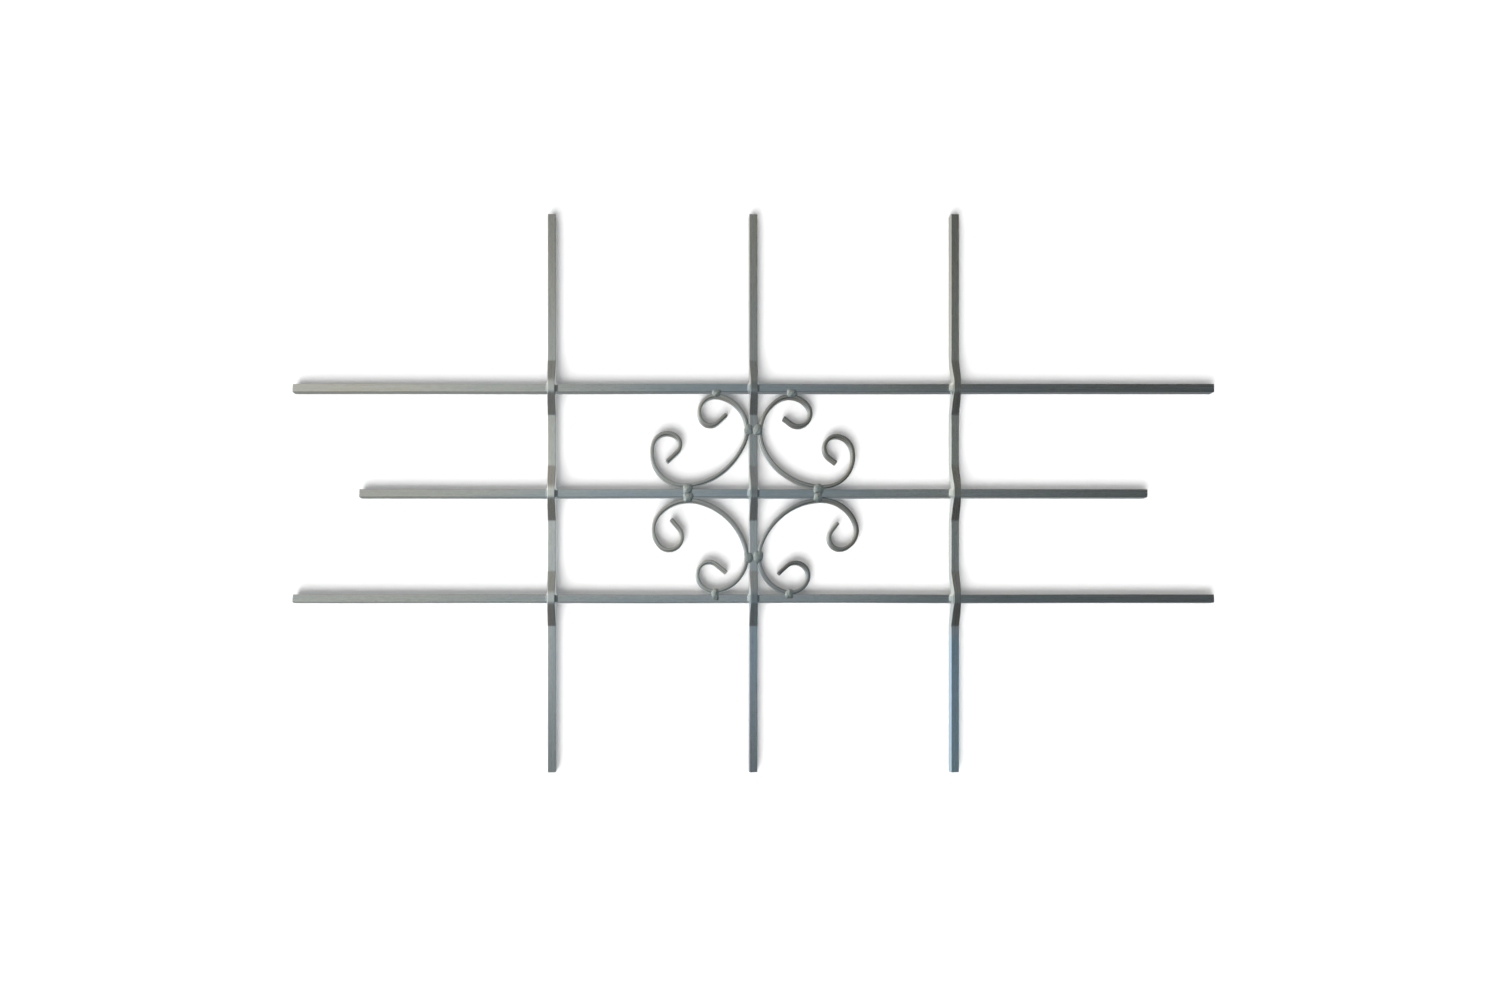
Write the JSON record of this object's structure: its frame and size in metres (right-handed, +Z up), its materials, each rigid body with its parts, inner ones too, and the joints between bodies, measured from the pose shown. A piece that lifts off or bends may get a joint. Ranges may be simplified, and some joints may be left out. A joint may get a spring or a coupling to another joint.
{
  "type": "window security grille",
  "caption": "Welded window grille of square steel bars: level bars crossed by cranked uprights, with flat-bar C-scrolls round the middle crossing, zinc plated.",
  "frame": {"origin": "middle of the crossing of the middle bar and the centre upright, on the plane where the two bars touch; also the middle of the overall box", "axes": "+X along the level bars to the right, +Y from the front of the grille to the window behind it, +Z up"},
  "size_m": [1.139, 0.02, 0.69],
  "materials": {
    "zinc_bar": "zinc plated, semi-gloss, with fine drawing lines along the bar",
    "zinc_scroll": "zinc plated flat bar, semi-gloss, a little darker from bending",
    "zinc_weld": "weld metal under the plating, bright and lumpy"
  },
  "bodies": {
    "root": {"top_bar": "zinc_bar", "middle_bar": "zinc_bar", "bottom_bar": "zinc_bar", "left_upright": "zinc_bar", "centre_upright": "zinc_bar", "right_upright": "zinc_bar", "upper_left_scroll": "zinc_scroll", "upper_right_scroll": "zinc_scroll", "lower_left_scroll": "zinc_scroll", "lower_right_scroll": "zinc_scroll", "upper_left_tack_top_bar": "zinc_weld", "upper_left_tack_upright": "zinc_weld", "upper_left_tack_middle_bar": "zinc_weld", "upper_right_tack_top_bar": "zinc_weld", "upper_right_tack_upright": "zinc_weld", "upper_right_tack_middle_bar": "zinc_weld", "lower_left_tack_bottom_bar": "zinc_weld", "lower_left_tack_upright": "zinc_weld", "lower_left_tack_middle_bar": "zinc_weld", "lower_right_tack_bottom_bar": "zinc_weld", "lower_right_tack_upright": "zinc_weld", "lower_right_tack_middle_bar": "zinc_weld", "top_left_crossing_weld": "zinc_weld", "top_centre_crossing_weld": "zinc_weld", "top_right_crossing_weld": "zinc_weld", "middle_left_crossing_weld": "zinc_weld", "middle_centre_crossing_weld": "zinc_weld", "middle_right_crossing_weld": "zinc_weld", "bottom_left_crossing_weld": "zinc_weld", "bottom_centre_crossing_weld": "zinc_weld", "bottom_right_crossing_weld": "zinc_weld"}
  },
  "joints": []
}
